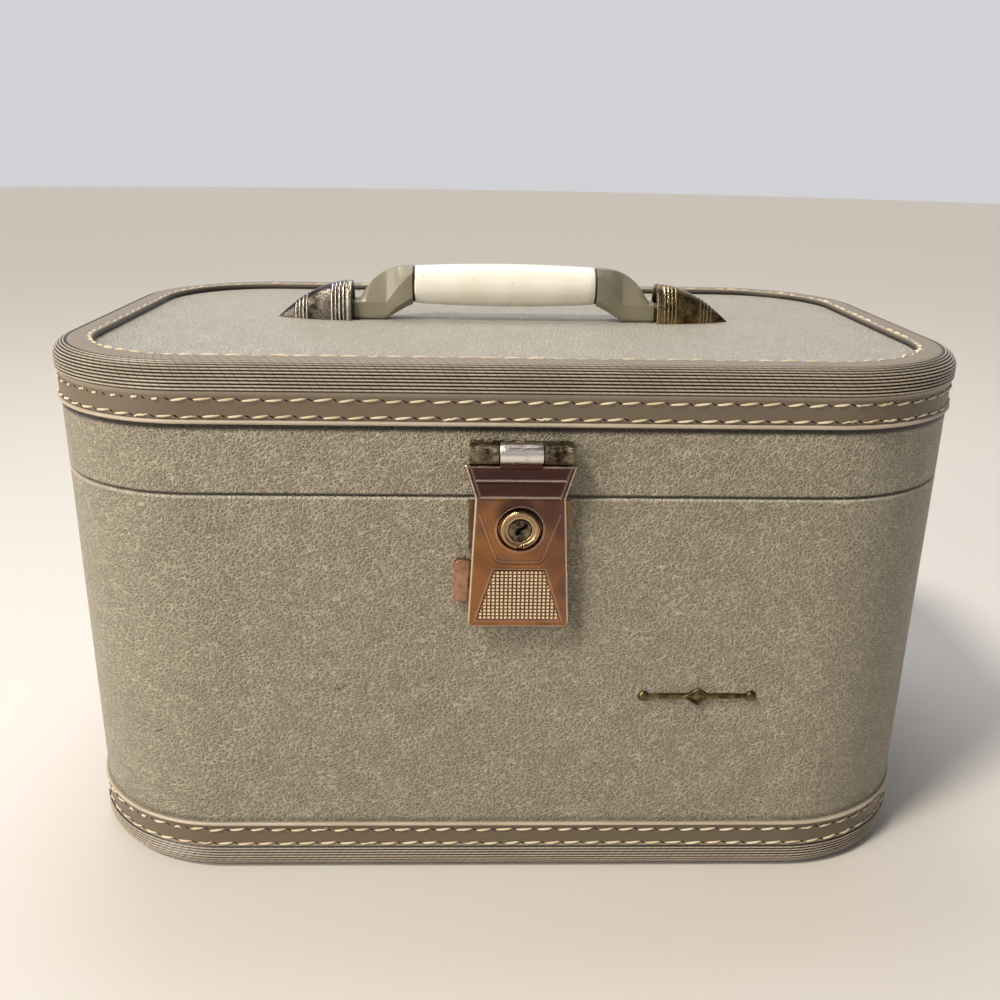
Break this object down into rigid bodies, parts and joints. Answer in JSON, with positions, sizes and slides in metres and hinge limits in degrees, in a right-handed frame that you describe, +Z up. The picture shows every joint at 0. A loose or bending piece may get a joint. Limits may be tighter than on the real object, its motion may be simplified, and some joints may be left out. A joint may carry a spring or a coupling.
{
  "type": "makeup storage case with handle",
  "caption": "Hard-sided train case with stitched ribbed edges, hinged lid with mirror, keyed front latch, lift-out tray and a rigid carrying handle on top.",
  "frame": {"origin": "middle of the underside, on the surface that the case stands on", "axes": "+X along the width to the right as seen from the front, +Y to the back, +Z up; the latch faces -Y"},
  "size_m": [0.3326, 0.2189, 0.2168],
  "materials": {
    "body_vinyl": "grained coated cloth, satin",
    "panel_vinyl": "fine grained coated cloth, satin",
    "binding_vinyl": "ribbed moulded strip, stitched",
    "board": "pressed fibre board",
    "lining_cloth": "woven lining",
    "closure_metal": "painted strip",
    "hinge_steel": "nickel plated steel",
    "flap_gilt": "copper tinted lacquer over pressed metal",
    "lock_nickel": "nickel plated",
    "cap_pewter": "aged plated die casting",
    "arm_plastic": "olive grey moulded plastic",
    "grip_plastic": "ivory moulded plastic",
    "collar_rubber": "black washer",
    "core_steel": "steel strap",
    "mirror_glass": "silvered glass",
    "frame_plastic": "moulded frame",
    "tray_plastic": "moulded tray",
    "badge_bronze": "aged bronze tone"
  },
  "bodies": {
    "case": {"body_wall": "board", "bottom_board": "board", "body_cover": "body_vinyl", "bottom_cover": "body_vinyl", "bottom_binding": "binding_vinyl", "body_lining": "lining_cloth", "closure_strip": "closure_metal", "tray_ledges": "lining_cloth", "hinge_left_lower_leaf": "hinge_steel", "hinge_right_lower_leaf": "hinge_steel", "hinge_pins": "hinge_steel", "lock_case": "lock_nickel", "badge_bar": "badge_bronze"},
    "lid": {"lid_wall": "board", "top_board": "board", "lid_cover": "body_vinyl", "top_cover": "panel_vinyl", "top_binding": "binding_vinyl", "lid_lining": "lining_cloth", "mirror_frame": "frame_plastic", "mirror": "mirror_glass", "hinge_left_upper_leaf": "hinge_steel", "hinge_right_upper_leaf": "hinge_steel", "latch_hinge_leaf": "lock_nickel", "latch_hinge_pin": "lock_nickel", "handle_cap_left": "cap_pewter", "handle_cap_right": "cap_pewter"},
    "handle": {"handle_grip": "grip_plastic", "handle_arm_left": "arm_plastic", "handle_arm_right": "arm_plastic", "handle_core": "core_steel", "handle_collars": "collar_rubber"},
    "latch_flap": {"latch_flap": "flap_gilt", "lock_ring": "lock_nickel"},
    "key_plug": {"lock_plug": "lock_nickel", "lock_cam": "lock_nickel"},
    "latch_slide": {"latch_slide": "flap_gilt"},
    "tray": {"tray": "tray_plastic"}
  },
  "joints": [
    {"name": "lid_open", "type": "hinge", "parent": "case", "child": "lid", "pos_m": [0, 0.10565, 0.1511], "axis": [-1, 0, 0], "range_deg": [0, 100]},
    {"name": "flap_swing", "type": "hinge", "parent": "lid", "child": "latch_flap", "pos_m": [0.003, -0.10715, 0.168], "axis": [-1, 0, 0], "range_deg": [0, 110]},
    {"name": "key_turn", "type": "hinge", "parent": "latch_flap", "child": "key_plug", "pos_m": [0.003, -0.10275, 0.1415], "axis": [0, -1, 0], "range_deg": [0, 90]},
    {"name": "slide_push", "type": "slide", "parent": "case", "child": "latch_slide", "axis": [1, 0, 0], "range_m": [0, 0.004]},
    {"name": "handle_lift", "type": "slide", "parent": "lid", "child": "handle", "axis": [0, 0, 1], "range_m": [0, 0.0045]},
    {"name": "tray_lift", "type": "slide", "parent": "case", "child": "tray", "axis": [0, 0, 1], "range_m": [0, 0.03]}
  ]
}
